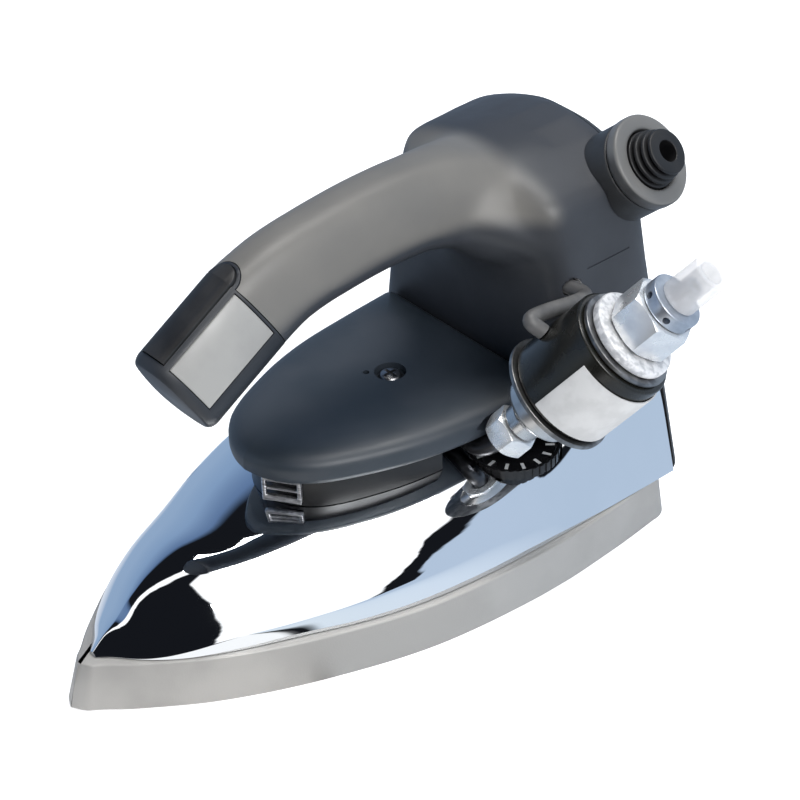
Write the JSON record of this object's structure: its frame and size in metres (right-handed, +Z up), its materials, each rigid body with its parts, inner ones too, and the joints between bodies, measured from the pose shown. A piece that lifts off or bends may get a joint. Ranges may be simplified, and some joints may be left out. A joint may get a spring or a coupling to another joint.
{
  "type": "gravity feed steam iron",
  "caption": "Hand iron with a boat-shaped cast sole under a chromed hood, an arched handle with a thumb steam button, a dial and a side-mounted solenoid water valve.",
  "frame": {"origin": "middle of the sole's flat underside, on the plane of symmetry of the sole", "axes": "+Z up, -Y towards the sole's tip, +Y towards the heel, +X towards the dial, the water valve and the cord entry"},
  "size_m": [0.1611, 0.2268, 0.14],
  "materials": {
    "cast_sole": "satin cast and ground",
    "element_sheath": "oxidised",
    "gasket": "matte",
    "plain_steel": "brushed",
    "screw_steel": "bright",
    "clip_steel": "polished",
    "white_plastic": "matte",
    "chrome_hood": "mirror",
    "shield_plastic": "semi gloss",
    "foot_plastic": "matte",
    "handle_plastic": "satin",
    "nose_plastic": "satin",
    "panel_plastic": "satin",
    "button_plastic": "gloss",
    "switch_case": "matte",
    "cover_plastic": "satin",
    "terminal_brass": "plain",
    "lead_rubber": "matte",
    "collar_plastic": "satin",
    "bushing_rubber": "matte",
    "dial_plastic": "gloss with light marks",
    "nut_chrome": "bright plated",
    "valve_metal": "machined",
    "valve_rim": "bright",
    "coil_resin": "semi gloss",
    "label_paper": "satin, blank",
    "cap_white": "satin",
    "clear_hose": "translucent",
    "sleeve_grey": "satin"
  },
  "bodies": {
    "iron_body": {"soleplate": "cast_sole", "heating_element": "element_sheath", "chamber_gasket": "gasket", "chamber_cover": "plain_steel", "chamber_screw_1": "screw_steel", "chamber_screw_2": "screw_steel", "chamber_screw_3": "screw_steel", "chamber_screw_4": "screw_steel", "thermal_fuse": "white_plastic", "shell": "chrome_hood", "post_1": "plain_steel", "post_2": "plain_steel", "post_3": "plain_steel", "heat_shield": "shield_plastic", "shield_screw": "screw_steel", "shield_spacer": "foot_plastic", "shield_clip": "clip_steel", "handle": "handle_plastic", "handle_screw_1": "screw_steel", "handle_screw_2": "screw_steel", "nose_cap": "nose_plastic", "panel_right": "panel_plastic", "panel_left": "panel_plastic", "nose_screw": "screw_steel", "microswitch": "switch_case", "switch_screw_1": "screw_steel", "switch_screw_2": "screw_steel", "rear_cover": "cover_plastic", "rear_cover_screw_1": "screw_steel", "rear_cover_screw_2": "screw_steel", "terminal_block": "white_plastic", "terminal_screw_1": "terminal_brass", "terminal_screw_2": "terminal_brass", "supply_lead_1": "lead_rubber", "supply_lead_2": "lead_rubber", "switch_leads": "lead_rubber", "gland_collar": "collar_plastic", "gland_nut": "collar_plastic", "cord_bushing": "bushing_rubber", "dial_base": "foot_plastic", "thermostat_body": "plain_steel", "water_pipe": "plain_steel", "outlet_nut": "nut_chrome", "valve_body": "valve_metal", "coil_flange": "valve_rim", "coil_body": "coil_resin", "coil_label": "label_paper", "coil_rim": "valve_rim", "coil_cap": "cap_white", "armature_tube": "plain_steel", "valve_nut": "nut_chrome", "inlet_fitting": "nut_chrome", "hose_stub": "clear_hose", "valve_lead_sleeve": "sleeve_grey"},
    "dial": {"thermostat_dial": "dial_plastic", "thermostat_shaft": "plain_steel"},
    "button": {"steam_button": "button_plastic"},
    "plunger": {"switch_plunger": "white_plastic"},
    "valve_armature": {"armature": "plain_steel"}
  },
  "joints": [
    {"name": "dial_turn", "type": "hinge", "parent": "iron_body", "child": "dial", "pos_m": [0.0348, 0.0514, 0.04], "axis": [0, 0, 1], "range_deg": [0, 300]},
    {"name": "button_press", "type": "slide", "parent": "iron_body", "child": "button", "axis": [0, 0.515, -0.8572], "range_m": [0, 0.0022], "stiffness_N_per_m": 400, "springref_m": -0.001},
    {"name": "plunger_press", "type": "slide", "parent": "iron_body", "child": "plunger", "axis": [0, 0.515, -0.8572], "range_m": [0, 0.0022]},
    {"name": "armature_lift", "type": "slide", "parent": "iron_body", "child": "valve_armature", "axis": [0.5548, 0.3828, 0.7387], "range_m": [0, 0.002], "stiffness_N_per_m": 300, "springref_m": -0.001}
  ],
  "couplings": [
    {"joint": "plunger_press", "follows": "button_press", "ratio": 1}
  ]
}
